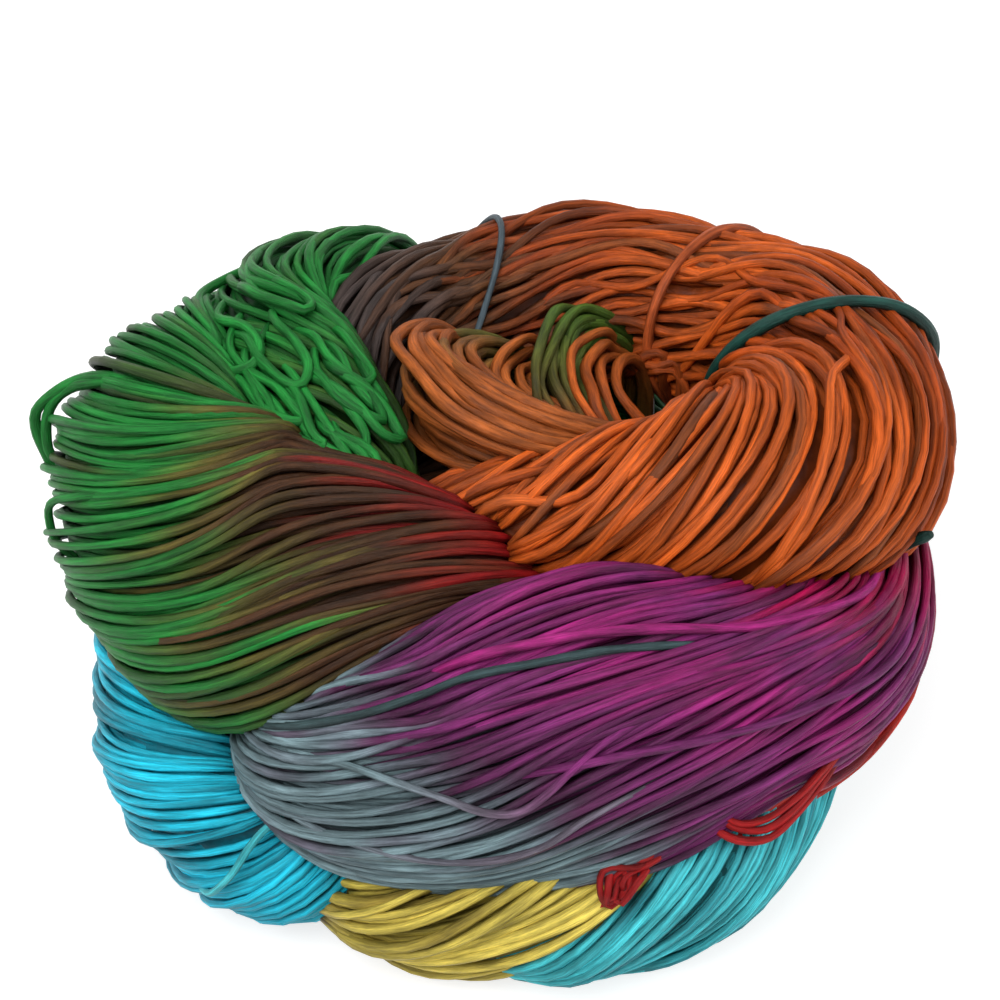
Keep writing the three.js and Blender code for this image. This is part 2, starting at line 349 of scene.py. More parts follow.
# Strands that lie loose on a coil's face: the coil, the dyes along them, the thickness, and rows of
# the place along the coil's table, the angle round it in degrees and the height in millimetres.
LOOSE = (
    ("front", ("grey", "grey", "ash", "purple"), 1.2, (
        (1.6, 134, -2), (2.2, 127, -0.5), (2.6, 118, 0.3), (2.9, 110, 0.7), (3.2, 101, 0.9),
        (3.4, 98, 0.9), (3.6, 101, 0.6), (3.8, 107, 0.2), (4.0, 112, -0.7), (4.3, 116, -2))),
    ("front", ("slate",), 1.3, (
        (0.7, 150, -2), (1.6, 147, 0.1), (2.3, 147, 0.4), (2.9, 149, 0.5), (3.4, 149, 0.4), (3.9, 144, 0.0),
        (4.4, 140, -0.6), (5.0, 136, -2))),
    ("front", ("grey", "ash"), 1.2, (
        (1.3, 98, -2), (2.3, 88, 0.3), (2.9, 82, 0.8), (3.4, 82, 0.8), (3.8, 88, 0.3), (4.6, 94, -2))),
    ("front", ("purple",), 1.7, (
        (3.2, 110, -2.5), (3.9, 106, 0.2), (4.5, 102, 0.5), (5.2, 100, 0.5), (5.9, 102, 0.2),
        (6.8, 110, -2.5))),
    ("front", ("magenta",), 1.6, (
        (2.8, 162, -2.5), (3.5, 156, 0.2), (4.2, 148, 0.5), (4.9, 142, 0.5), (5.6, 138, 0.2),
        (6.5, 136, -2.5))),
    ("base", ("teal",), 1.4, (
        (1.1, 14, -1), (1.35, 26, 0.6), (1.45, 40, 1.0), (1.5, 56, 1.1), (1.58, 70, 0.9), (1.7, 84, 0.3),
        (1.95, 98, -2))),
    ("left", ("green",), 1.7, (
        (4.78, 36, -3), (4.86, 47, -0.9), (4.93, 57, 0.3), (5.0, 67, 0.9), (5.03, 77, 2.2), (5.04, 86, 3.6),
        (5.03, 92, 4.1), (5.0, 98, 3.1), (4.96, 103, 1.5), (4.91, 109, -0.4), (4.85, 116, -3))),
    ("left", ("green",), 1.7, (
        (4.78, 40, -3), (4.86, 51, -0.9), (4.93, 62, 0.3), (5.0, 73, 1.2), (5.02, 82, 2.1), (5.0, 89, 2.3),
        (4.97, 96, 1.6), (4.92, 103, 0.2), (4.85, 110, -3))),
    ("left", ("green",), 1.7, (
        (4.2, 76, -3), (4.33, 85, -0.8), (4.44, 93, 0.3), (4.53, 100, 0.9), (4.58, 107, 1.2),
        (4.57, 114, 0.9), (4.5, 121, 0.2), (4.38, 130, -3))),
)

# Groups of loops in and beside the eye, in millimetres: the dyes along them, the thickness, how many,
# and the first and the last loop of the group. The others lie between these two.
LOOPS = {
    "tongue": {
        "dyes": ((0.0, "amber"), (1.0, "amber")), "yarn": 2.2, "count": 5, "mess": 0.4,
        "first": ((20, -4, 71), (6, -7, 75), (-6, -3, 78), (-13, 6, 80), (-16, 14, 80), (-13, 20, 78),
                  (-8, 23, 74), (-3, 22, 66)),
        "last": ((22, -1, 72), (10, -1, 76), (1, 3, 78), (-6, 9, 79), (-9, 14, 79), (-8, 18, 77),
                 (-5, 20, 73), (-1, 19, 64)),
    },
    "curl": {
        "dyes": ((0.0, "amber"), (0.7, "amber"), (1.0, "rust")), "yarn": 2.0, "count": 4, "mess": 0.4,
        "first": ((16, 3, 67), (6, 4, 72), (0, 8, 74), (-1, 13, 75), (1, 18, 75), (5, 23, 73), (8, 26, 64)),
        "last": ((18, 6, 65), (10, 9, 69), (6, 12, 70), (5, 16, 70), (7, 19, 69), (9, 22, 66), (10, 24, 58)),
    },
    "fan": {
        "dyes": ((0.0, "amber"), (0.2, "olive"), (0.45, "fern"), (0.7, "fern"), (1.0, "moss")), "yarn": 1.9,
        "count": 9, "mess": 0.5,
        "first": ((13, 1, 66), (8, 6, 71), (6, 11, 74), (7, 18, 76), (9, 25, 76), (13, 30, 74), (19, 33, 69),
                  (24, 34, 60), (24, 33, 48)),
        "last": ((22, 6, 60), (17, 12, 66), (14, 17, 69), (14, 21, 71), (16, 26, 71), (19, 29, 68),
                 (22, 31, 63), (24, 31, 56), (24, 31, 46)),
    },
    "arcs": {
        "dyes": ((0.0, "orange"), (0.6, "amber"), (1.0, "olive")), "yarn": 1.8, "count": 4, "mess": 0.5,
        "first": ((19, 2, 64), (14, 7, 69), (12, 12, 72), (12, 18, 73), (14, 23, 73), (17, 27, 71),
                  (20, 29, 64), (21, 30, 54)),
        "last": ((27, 8, 58), (22, 12, 64), (19, 17, 67), (19, 21, 68), (21, 25, 67), (23, 27, 63),
                 (25, 28, 57), (25, 29, 48)),
    },
    "nook": {
        "dyes": ((0.0, "orange"), (1.0, "copper")), "yarn": 1.7, "count": 3, "mess": 0.5,
        "first": ((21, 32, 58), (22, 28, 63), (24, 27, 66), (27, 27, 66), (28, 27, 62), (29, 29, 54)),
        "last": ((25, 33, 56), (25, 29, 62), (27, 27, 64), (30, 26, 64), (31, 25, 60), (32, 26, 52)),
    },
    "crescent": {
        "dyes": ((0.0, "red"), (1.0, "crimson")), "yarn": 1.3, "count": 3, "mess": 0.2,
        "first": ((58, -28, 37), (54, -35, 38), (49, -41, 37), (45, -45, 35.5), (41, -48, 34),
                  (36, -49, 34.5), (31, -46, 38)),
        "last": ((58, -27, 35), (54, -34, 36), (50, -40, 35), (46, -45, 33), (41, -49, 32), (35, -50, 33),
                 (29, -46, 36)),
    },
    "tuft": {
        "dyes": ((0.0, "red"), (1.0, "crimson")), "yarn": 1.2, "count": 7, "mess": 0.9,
        "first": ((27, -48, 34), (22, -54, 33), (17, -56, 32), (15, -57, 29), (16, -57, 26), (19, -56, 27),
                  (19, -54, 31), (17, -48, 34)),
        "last": ((29, -46, 33), (25, -52, 32), (21, -55, 31), (19, -57, 29), (19, -57, 26), (21, -56, 28),
                 (21, -54, 32), (18, -48, 35)),
    },
}

# Hairpin curls that stand up out of a coil: how many, the coil's rows and angles that they fill,
# their length in rows, and their dye.
CURLS = {
    "crest": {"count": 16, "rows": (0.5, 2.2), "angles": (25, 105), "length": 1.0, "dye": "green"},
}

# A curl's points: shares of its length, of its half width in degrees, and of its height. A height
# below 0 is in millimetres, under the coil's face.
CURL = (
    (1.0, -1.5, -1.5), (0.7, -0.8, 0.5), (0.4, -1.1, 0.9), (0.12, -0.8, 1.0), (0.0, 0.0, 1.1),
    (0.12, 0.8, 1.0), (0.4, 1.1, 0.9), (0.7, 0.8, 0.5), (1.0, 1.5, -1.5),
)
CURL_LENGTHS = (0.6, 1.3)  # the shortest and the longest against the group's length
CURL_HALVES = (7, 14)  # the least and the most of their half width
CURL_HEIGHTS = (0.5, 1.4)
CURL_LEAN = 10  # how far they lean to a side, in degrees
CURL_WANDER = 2.5  # how far each of their points does

# The ties round the top coil: the row of its table that the tie's plane passes through, the plane's
# direction, the tie's thickness, how far its middle lies above the coil's face, its dye, and the
# points of each end that shows.
TIES = {
    "tie_dark_green": {
        "row": 5.7, "facing": (-0.2, 0.94, 0.27), "across": 2.3, "lift": 0.9, "dye": "bottle",
        "ends": (((54, -6, 49), (60, -10, 55), (64.5, -12.5, 60), (67.2, -14, 62.8)),),
    },
    "tie_rust": {
        "row": 7, "facing": (-0.72, 0.68, -0.14), "across": 1.9, "lift": 1.0, "dye": "copper", "ends": (),
    },
    "tie_grey": {
        "row": 9.1, "facing": (-0.9, 0, 0.44), "across": 1.2, "lift": 1.1, "dye": "steel", "ends": (),
    },
}


# --- Curves and sections -------------------------------------------------------------------------

def unit(vectors):
    return vectors / np.maximum(np.linalg.norm(vectors, axis=-1, keepdims=True), 1e-9)


def across_from(vectors, direction):
    """The part of each vector that lies across a unit direction."""
    return vectors - direction * np.sum(vectors * direction, axis=-1, keepdims=True)


def spline(rows, places):
    """Smooth values between a table's rows, at places counted in rows."""
    table = np.asarray(rows, float)
    table = np.vstack((2 * table[0] - table[1], table, 2 * table[-1] - table[-2]))
    low = np.clip(np.floor(places).astype(int), 0, len(rows) - 2)
    part = (np.asarray(places) - low)[:, None]
    before, start, end, after = (table[low + step] for step in range(4))
    slope_in = 0.5 * (end - before)
    slope_out = 0.5 * (after - start)
    bend = 3 * (end - start) - 2 * slope_in - slope_out
    return start + slope_in * part + bend * part**2 + (slope_in + slope_out - 2 * (end - start)) * part**3


def ways_along(rows, places):
    """The unit direction of a coil's middle line at some places."""
    ahead = spline(rows, np.minimum(places + NUDGE, len(rows) - 1))[:, :3]
    behind = spline(rows, np.maximum(places - NUDGE, 0))[:, :3]
    return unit(ahead - behind)


def outward_sides(rows):
    """The "out" side of a coil, carried along it while it turns towards the way out from the heart.

    A coil that holds the heart itself has no such way, and there the side is only carried.
    """
    places = np.linspace(0, len(rows) - 1, (len(rows) - 1) * STEPS_PER_ROW + 1)
    values = spline(rows, places)
    along = ways_along(rows, places)
    out = np.array([0.0, 0.0, 1.0])
    sides = []
    for (x, y, z, _, thick, _), way in zip(values, along):
        reach = np.array([x, y, z]) - HEART
        away = across_from(unit(reach), way)
        pull = 0.0 if np.linalg.norm(reach) < thick else PULL * float(away @ away)
        out = unit(across_from(out, way)) * (1 - pull) + unit(away) * pull
        out = unit(across_from(out, way))
        sides.append(out)
    return np.array(sides)


def sections(rows, places):
    """A coil's sections: middle, along, out and across it, half sizes, fullness and twist."""
    values = spline(rows, places)
    column = dict(zip(COLUMNS, values.T))
    along = ways_along(rows, places)
    out = unit(across_from(spline(outward_sides(rows), places * STEPS_PER_ROW), along))
    fine, length = lengths(rows)
    share = np.interp(places, fine, length / length[-1])
    return {
        "middle": values[:, :3], "along": along, "out": out, "across": np.cross(along, out),
        "wide": column["wide"], "thick": column["thick"], "twist": np.radians(column["twist"]),
        "share": share, "full": fullness(share),
    }


def lengths(rows):
    """Fine places along a coil, and how far along each is in millimetres."""
    fine = np.linspace(0, len(rows) - 1, FINE_STEPS)
    middles = spline(rows, fine)[:, :3]
    steps = np.linalg.norm(np.diff(middles, axis=0), axis=1)
    return fine, np.concatenate(([0], np.cumsum(steps)))


def surface(part, angles, raised, least=0.0):
    """Points round a coil's sections at some angles, and raised above the coil's face."""
    full = np.maximum(part["full"], least)
    wide = np.maximum(part["wide"] * full + raised, LEAST_HALF)
    thick = np.maximum(part["thick"] * full + raised, LEAST_HALF)
    return (part["middle"] + (wide * np.cos(angles))[..., None] * part["across"]
            + (thick * np.sin(angles))[..., None] * part["out"])


def even_places(rows, step):
    """Places along a coil that lie a step apart, and how far along each is in millimetres."""
    fine, length = lengths(rows)
    travelled = np.linspace(0, length[-1], int(length[-1] / step) + 2)
    return np.interp(travelled, length, fine), travelled


def fullness(share):
    """How much of its full size a section has, so that a coil ends in a rounded tip."""
    from_end = np.minimum(np.minimum(share, 1 - share), ROUND_END) / ROUND_END
    return np.sqrt(np.maximum(1 - (1 - from_end) ** 2, 0))


def placed(points):
    """From the coils' own frame in millimetres to the part's frame in metres."""
    return (points - FOOTPRINT) * MM


# --- What lies inside a coil ---------------------------------------------------------------------

def depth_inside(points, rows, own_travel=None):
    """How deep each point lies inside a coil, in millimetres, or how far outside if negative."""
    places, travelled = even_places(rows, PROBE_STEP)
    part = sections(rows, places)
    away = points[:, None, :] - part["middle"][None]
    distance = np.sum(away**2, axis=-1)
    if own_travel is not None:
        distance = distance + FAR * (np.abs(travelled[None] - own_travel[:, None]) < OWN_STRETCH)
    nearest = np.argmin(distance, axis=1)
    reach = points - part["middle"][nearest]
    wide = (part["wide"] * part["full"])[nearest]
    thick = (part["thick"] * part["full"])[nearest]
    sideways = np.sum(reach * part["across"][nearest], axis=1)
    outward = np.sum(reach * part["out"][nearest], axis=1)
    beyond = np.abs(np.sum(reach * part["along"][nearest], axis=1))
    size = np.sqrt((sideways / np.maximum(wide, LEAST_TIP)) ** 2
                   + (outward / np.maximum(thick, LEAST_TIP)) ** 2)
    depth = (1 - size) * np.minimum(wide, thick)
    depth = np.where(beyond > PROBE_REACH, -beyond, depth)
    if own_travel is not None:
        depth = np.where(distance[np.arange(len(points)), nearest] >= FAR, CLEAR, depth)
    return depth


def buried(points, own, travelled):
    """How deep each point lies inside any other coil, or inside a far stretch of its own."""
    deepest = np.full(len(points), CLEAR)
    for name, coil in COILS.items():
        own_travel = travelled if name == own else None
        deepest = np.maximum(deepest, depth_inside(points, coil["rows"], own_travel))
    return deepest


# --- Strands -------------------------------------------------------------------------------------

def drift(rng, count, travelled, waves, mess=1):
    """A slow random wander for each of many strands, from waves that are each a length and a height."""
    total = np.zeros((count, len(travelled)))
    for length, height in waves:
        stretch = length * rng.uniform(*WAVE_LENGTHS, (count, 1))
        phase = rng.uniform(0, 2 * math.pi, (count, 1))
        total += height * mess * rng.uniform(*WAVE_HEIGHTS, (count, 1)) * np.sin(
            2 * math.pi * travelled[None] / stretch + phase)
    return total


def swell(rng, angles, travelled, waves):
    """A slow random swell over a coil's face, which neighbouring strands share.

    A wave is how many times it goes round, its length and its height.
    """
    total = np.zeros((len(angles), len(travelled)))
    for turns, length, height in waves:
        phase = rng.uniform(0, 2 * math.pi)
        side = rng.choice((-1, 1))
        total += height * np.sin(
            turns * angles[:, None] + side * 2 * math.pi * travelled[None] / length + phase)
    return total


def smoothed(values, passes=SMOOTHING):
    """Values evened out along each strand, so that it doesn't kink."""
    for _ in range(passes):
        before = np.concatenate((values[:, :1], values[:, :-1]), axis=1)
        after = np.concatenate((values[:, 1:], values[:, -1:]), axis=1)
        values = 0.25 * before + 0.5 * values + 0.25 * after
    return values


def dyed(name):
    """The colour of a dye, as the settings give it."""
    return np.array(getattr(bpy.context.scene.skein_dyes, name))


def bath(stops, places):
    """The dye at each place, from stops that are each a place and a dye's name."""
    marks = [place for place, name in stops]
    dyes = np.array([dyed(name) for place, name in stops])
    return np.stack([np.interp(places, marks, dyes[:, channel]) for channel in range(3)], axis=-1)


def wind(name, layer):
    """One layer of a coil's strands, cut where other coils cover them."""
    coil = COILS[name]
    rng = np.random.default_rng(SEED + 100 * layer + sum(map(ord, name)))
    rows, yarn, mess = coil["rows"], coil["yarn"] * bpy.context.scene.skein.yarn, coil["mess"]
    room_each = yarn * (coil["pitch"] if layer == 0 else 1.0)
    places, travelled = even_places(rows, STRAND_STEP * (1 + UNDER_STEP * layer))
    part = sections(rows, places)
    girth = 2 * math.pi * np.sqrt((part["wide"] ** 2 + part["thick"] ** 2) / 2)
    girth = girth * np.maximum(part["full"], LEAST_FULL)
    lay = np.gradient(part["twist"], travelled) * girth / (2 * math.pi) * (layer == 0)
    room = girth / np.sqrt(1 + LAY_CLEARS * lay**2) / room_each
    count = int(room.max())
    shifted = rng.uniform(-START_SPREAD, START_SPREAD, count)
    start = (np.arange(count) + 0.5 * layer + shifted) * 2 * math.pi / count
    crowd = np.maximum(rng.permutation(count)[:, None] / np.maximum(room, LEAST_ROOM)[None] - 1, 0)
    proud = (rng.random((count, 1)) < PROUD) * (layer == 0)
    sideways = drift(rng, count, travelled, WANDER, mess) * (1 + PROUD_WANDER * proud)
    sideways += swell(rng, start, travelled, SWELL_SIDEWAYS)
    angle = start[:, None] + part["twist"][None] + sideways / np.maximum(girth / ROUND, LEAST_RADIUS)[None]
    flat = (part["wide"] - part["thick"]) / (part["wide"] + part["thick"])
    angle += EVEN_SPREAD * flat * np.sin(2 * angle)
    raised = drift(rng, count, travelled, RISE, mess)
    raised += swell(rng, start, travelled, SWELL_HEIGHT)
    raised += ((PROUD_HEIGHT * proud - SUNK - LAYER_DEPTH * layer) * yarn
               - CROWDED_DEPTH * yarn * np.minimum(crowd, CROWDED_MOST))
    raised = np.minimum(raised, MOST_RAISED * yarn)
    row, spread, height = coil["bulge"]
    raised += height * rng.random((count, 1)) ** 2 * np.exp(-(((places - row) / spread) ** 2))
    outward = (np.cos(angle)[..., None] * part["across"][None]
               + np.sin(angle)[..., None] * part["out"][None])
    lines = smoothed(surface(part, angle, raised, LEAST_FULL), SMOOTHING // 2)
    radius = 0.5 * yarn * rng.uniform(*YARN_SIZES, (count, 1)) * (
        1 + drift(rng, count, travelled, THICK_AND_THIN))
    lines[..., 2] = np.maximum(lines[..., 2], FOOTPRINT[2] + radius)
    phase = rng.normal(0, coil["vary"], (count, 1)) + drift(rng, count, travelled, DYE_DRIFT)
    dye = bath(coil["dyes"], part["share"][None] + phase - coil["lean"] * np.cos(angle))
    blotch = drift(rng, count, travelled, BLOTCHES) + rng.normal(*BLOTCH_LEVEL, (count, 1))
    blotch = np.clip(blotch, 0, BLOTCH_MOST)[..., None]
    # painted shade: each lower layer's dye is darkened for the shade that the layer above casts on it
    dye = (dye * (1 - blotch) + dyed(coil["second"]) * blotch) * UNDER_PAINTED_SHADE**layer
    dye = dye * rng.uniform(*SHADES, (count, 1, 1))
    tone = rng.random(count)
    sides = STRAND_SIDES[min(layer, 1)]
    deep = buried(lines.reshape(-1, 3), name, np.tile(travelled, count)).reshape(count, -1)
    shallow, sunk = DIVE_DEPTHS
    lines = lines - outward * (DIVE * smoothed(np.clip((deep - shallow) / (sunk - shallow), 0, 1)))[..., None]
    strands = []
    for index in range(count):
        shown = deep[index] < BURIED
        edges = np.flatnonzero(np.diff(np.concatenate(([0], shown.astype(int), [0]))))
        for first, last in zip(edges[::2], edges[1::2]):
            if last - first < CUTOFF:
                continue
            cut = slice(first, last)
            rings = strand_rings(lines[index, cut], outward[index, cut], radius[index, cut], sides)
            strands.append({
                "rings": rings, "dye": dye[index, cut], "tone": tone[index], "travelled": travelled[cut],
            })
    return strands


def core(name):
    """A closed form under a coil's strands, so that no light comes through between them, dyed dark as painted
    shade in the gaps.
    """
    coil = COILS[name]
    places, travelled = even_places(coil["rows"], CORE_STEP)
    part = sections(coil["rows"], places)
    angles = np.linspace(0, 2 * math.pi, CORE_SIDES, endpoint=False)
    part = {key: values[:, None] for key, values in part.items()}
    yarn = coil["yarn"] * bpy.context.scene.skein.yarn
    rings = surface(part, angles[None], CORE_DEPTH * yarn, CORE_FULL)
    rings[..., 2] = np.maximum(rings[..., 2], FOOTPRINT[2] + yarn)
    # painted shade: the core's dye is darkened to stand for the shade between the strands
    dye = bath(coil["dyes"], part["share"][:, 0]) * CORE_PAINTED_SHADE
    return {"rings": rings[:, ::-1], "dye": dye, "tone": 0.0, "travelled": travelled}


def free_strand(rng, points, outward, yarn, dye_of):
    """A strand through a fine run of points, thick and thin, with a dye for each share of its length."""
    travelled = np.concatenate(([0], np.cumsum(np.linalg.norm(np.diff(points, axis=0), axis=1))))
    even = np.linspace(0, travelled[-1], max(int(travelled[-1] / LOOP_STEP), LEAST_RINGS))
    line = np.stack([np.interp(even, travelled, points[:, axis]) for axis in range(3)], axis=1)
    outward = np.stack([np.interp(even, travelled, outward[:, axis]) for axis in range(3)], axis=1)
    yarn = yarn * bpy.context.scene.skein.yarn
    radius = 0.5 * yarn * rng.uniform(*LOOP_SIZES) * (1 + drift(rng, 1, even, LOOP_THICK_AND_THIN)[0])
    line[:, 2] = np.maximum(line[:, 2], FOOTPRINT[2] + radius)
    return {
        "rings": strand_rings(line, outward, radius, STRAND_SIDES[0]), "tone": rng.random(),
        "dye": dye_of(even / even[-1]) * rng.uniform(*LOOP_SHADES), "travelled": even,
    }


def fine_run(knots):
    """Many points on a smooth curve through a few."""
    return spline(knots, np.linspace(0, len(knots) - 1, KNOT_STEPS * len(knots)))


def on_coil(rng, name, rows, yarn, stops):
    """A loose strand on a coil's face, from rows of place, angle and height."""
    values = fine_run(rows)
    last = len(COILS[name]["rows"]) - 1
    part = sections(COILS[name]["rows"], np.clip(values[:, 0], 0, last))
    points = surface(part, np.radians(values[:, 1]), values[:, 2])
    return free_strand(rng, points, points - part["middle"], yarn, lambda share: bath(stops, share))


def loop_group(rng, group):
    """A group of loops between its first and its last one."""
    first, last = (np.array(group[end], float) for end in ("first", "last"))
    strands = []
    for index in range(group["count"]):
        share = (index + rng.uniform(-LOOP_SPREAD, LOOP_SPREAD)) / max(group["count"] - 1, 1)
        knots = first * (1 - share) + last * share + rng.normal(0, group["mess"], first.shape)
        points = fine_run(knots)
        strands.append(free_strand(
            rng, points, points - HEART, group["yarn"], lambda share: bath(group["dyes"], share)))
    return strands


def hairpin(rng, curl):
    """The rows of one curl: out along a coil, round a tight bend, and back beside itself."""
    end, angle = rng.uniform(*curl["rows"]), rng.uniform(*curl["angles"])
    length = curl["length"] * rng.uniform(*CURL_LENGTHS)
    half, height, lean = rng.uniform(*CURL_HALVES), rng.uniform(*CURL_HEIGHTS), rng.normal(0, CURL_LEAN)
    return [(end + length * along, angle + half * side + lean * along + rng.normal(0, CURL_WANDER),
             height * up if up > 0 else up) for along, side, up in CURL]


def tie_strands(rng, tie):
    """A tie on the line where its plane cuts the top coil, closed on itself, and its loose ends."""
    rows = COILS["top"]["rows"]
    facing = unit(np.array(tie["facing"], float))
    centre = sections(rows, np.array([float(tie["row"])]))["middle"][0]
    angles = np.linspace(0, 2 * math.pi, TIE_STEPS, endpoint=False)
    places = np.full(TIE_STEPS, float(tie["row"]))
    for _ in range(TIE_PASSES):
        part = sections(rows, np.clip(places, 0, len(rows) - 1))
        points = surface(part, angles, tie["lift"])
        places -= TIE_PACE * (points - centre) @ facing
    outward = points - part["middle"]
    routes = [[np.concatenate((ring, ring[:TIE_OVERLAP])) for ring in (points, outward)]]
    for knots in tie["ends"]:
        points = fine_run(knots)
        routes.append([points, points - HEART])
    dye = dyed(tie["dye"])
    return [free_strand(rng, points, outward, tie["across"], lambda share: np.tile(dye, (len(share), 1)))
            for points, outward in routes]


def strand_rings(line, outward, radius, sides):
    """The corners round a strand, with its seam towards the coil's inside."""
    along = unit(np.gradient(line, axis=0))
    inward = unit(across_from(-outward, along))
    sideways = np.cross(along, inward)
    turn = 2 * math.pi * np.arange(sides) / sides
    radius = radius.copy()
    radius[[0, -1]] *= TIP
    ring = (np.cos(turn)[None, :, None] * inward[:, None]
            + np.sin(turn)[None, :, None] * sideways[:, None])
    return line[:, None] + radius[:, None, None] * ring


def strand_mesh(name, strands):
    """One joined mesh of many strands. Its UV map runs round and along each strand."""
    corners, faces, starts, uvs, dyes = [], [], [], [], []
    corner_count, loop_count = 0, 0
    for strand in strands:
        count, sides = strand["rings"].shape[:2]
        around = np.arange(sides)
        following = (around + 1) % sides
        corners.append(strand["rings"].reshape(-1, 3))
        base = corner_count + sides * np.arange(count - 1)[:, None]
        quads = np.stack((base + around, base + following, base + sides + following,
                          base + sides + around), axis=-1)
        caps = np.concatenate((corner_count + around[::-1], corner_count + sides * (count - 1) + around))
        faces.append(np.concatenate((quads.ravel(), caps)))
        marks = 4 * np.arange(sides * (count - 1) + 1)
        starts.append(loop_count + np.append(marks, marks[-1] + sides))
        lengths_along = strand["travelled"] / STREAK_LENGTH + STREAK_SHIFT * strand["tone"]
        low = np.repeat(lengths_along[:-1, None], sides, axis=1)
        high = np.repeat(lengths_along[1:, None], sides, axis=1)
        left = np.tile(around / sides, (count - 1, 1))
        right = left + 1 / sides
        uvs.append(np.stack((left, low, right, low, right, high, left, high), axis=-1).ravel())
        cap_uvs = [np.stack((around[::-1] / sides, np.full(sides, lengths_along[0])), axis=-1),
                   np.stack((around / sides, np.full(sides, lengths_along[-1])), axis=-1)]
        uvs.append(np.concatenate(cap_uvs).ravel())
        dyes.append(np.repeat(np.hstack((strand["dye"], np.ones((count, 1)))), sides, axis=0))
        corner_count += count * sides
        loop_count += quads.size + caps.size
    mesh = bpy.data.meshes.new(name)
    mesh.vertices.add(corner_count)
    mesh.vertices.foreach_set("co", placed(np.concatenate(corners)).ravel())
    mesh.loops.add(loop_count)
    mesh.loops.foreach_set("vertex_index", np.concatenate(faces))
    starts = np.concatenate(starts)
    mesh.polygons.add(len(starts))
    mesh.polygons.foreach_set("loop_start", starts)
    layer = mesh.uv_layers.new(name="strand")
    layer.uv.foreach_set("vector", np.concatenate(uvs))
    # the dye attribute also carries the painted shade of the cores and the lower layers
    dye = mesh.attributes.new("dye", "FLOAT_COLOR", "POINT")
    dye.data.foreach_set("color", np.concatenate(dyes).ravel())
    mesh.update(calc_edges=True)
    mesh.validate()
    mesh.polygons.foreach_set("use_smooth", np.ones(len(mesh.polygons), bool))
    return mesh


def add_piece(name, mesh, material, node):
    """Puts a finished mesh in the scene, on the part's own body."""
    piece = bpy.data.objects.new(name, mesh)
    bpy.context.collection.objects.link(piece)
    mesh.materials.append(material)
    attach(piece, "root")
    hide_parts(node)
    return piece


# --- Materials -----------------------------------------------------------------------------------

class Graph:
    """A short way to add nodes to a material and to link them."""

    def __init__(self, name):
        self.material = bpy.data.materials.new(name)
        self.material.use_nodes = True
        self.tree = self.material.node_tree
        self.shader = self.tree.nodes["Principled BSDF"]

    def add(self, kind, inputs=None, **settings):
        node = self.tree.nodes.new(kind)
        for key, value in settings.items():
            setattr(node, key, value)
        for key, value in (inputs or {}).items():
            if isinstance(value, bpy.types.NodeSocket):
                self.tree.links.new(value, node.inputs[key])
            else:
                node.inputs[key].default_value = value
        return node

    def math(self, operation, first, second):
        node = self.add("ShaderNodeMath", {0: first, 1: second}, operation=operation)
        return node.outputs[0]

    def spread(self, value, low, high, first, last):
        """The value carried smoothly from one range to another."""
        node = self.add("ShaderNodeMapRange", {
            "Value": value, "From Min": low, "From Max": high, "To Min": first, "To Max": last},
            interpolation_type="SMOOTHSTEP")
        return node.outputs["Result"]

    def noise(self, vector, scale, slant, detail, roughness):
        """Noise with a scale for each direction, and turned by a slant."""
        way = self.add("ShaderNodeMapping", {"Vector": vector, "Scale": scale, "Rotation": (0, 0, slant)})
        node = self.add("ShaderNodeTexNoise", {
            "Vector": way.outputs["Vector"], "Scale": 1.0, "Detail": detail, "Roughness": roughness})
        return node.outputs["Fac"]

    def scaled(self, colour, factor):
        node = self.add("ShaderNodeVectorMath", {0: colour, "Scale": factor}, operation="SCALE")
        return node.outputs["Vector"]


def yarn_material(name):
    """Dyed silk: the dye is carried by the strands, fibres run along them, painted shade darkens their sides,
    painted highlights lie in their streaks, and it shines softly.
    """
    graph = Graph(name)
    uv = graph.add("ShaderNodeUVMap", uv_map="strand").outputs["UV"]
    dye = graph.add("ShaderNodeAttribute", attribute_name="dye").outputs["Color"]
    # the streaks are partly random tone and partly painted highlight and shade
    streak_tone_and_light = graph.noise(uv, **STREAKS)
    fibre = graph.noise(uv, **FIBRES)
    around = graph.add("ShaderNodeSeparateXYZ", {"Vector": uv}).outputs["X"]
    edge = graph.math("ABSOLUTE", graph.math("SUBTRACT", around, 0.5), 0.0)
    # painted shade: the dye darkens towards the strand's sides and inner seam
    painted_rim_shade = graph.spread(edge, *PAINTED_RIM_SHADES)
    # the dye is scaled by fibre tone, by streaks that are partly painted light, and by the painted shade of
    # the rim
    tone_and_painted_light = graph.math("MULTIPLY", graph.spread(fibre, *FIBRE_SHADES), graph.spread(streak_tone_and_light, *STREAK_TONE_AND_PAINTED_LIGHT))
    tone_and_painted_light = graph.math("MULTIPLY", tone_and_painted_light, painted_rim_shade)
    colour = graph.scaled(dye, tone_and_painted_light)
    bump = graph.add("ShaderNodeBump", {"Strength": 1.0, "Distance": FIBRE_HEIGHT, "Height": fibre})
    graph.tree.links.new(colour, graph.shader.inputs["Base Color"])
    graph.tree.links.new(bump.outputs["Normal"], graph.shader.inputs["Normal"])
    settings = bpy.context.scene.skein
    graph.shader.inputs["Roughness"].default_value = settings.roughness
    graph.shader.inputs["Specular IOR Level"].default_value = settings.shine
    return graph.material


def plain_view(tree):
    """1 for the rays that see the background itself or through gloss or glass, and 0 for the rest."""
    rays = tree.nodes.new("ShaderNodeLightPath").outputs
    either = rays["Is Camera Ray"]
    for kind in ("Is Glossy Ray", "Is Transmission Ray"):
        node = tree.nodes.new("ShaderNodeMath")
        node.operation = "MAXIMUM"
        tree.links.new(either, node.inputs[0])
        tree.links.new(rays[kind], node.inputs[1])
        either = node.outputs[0]
    return either


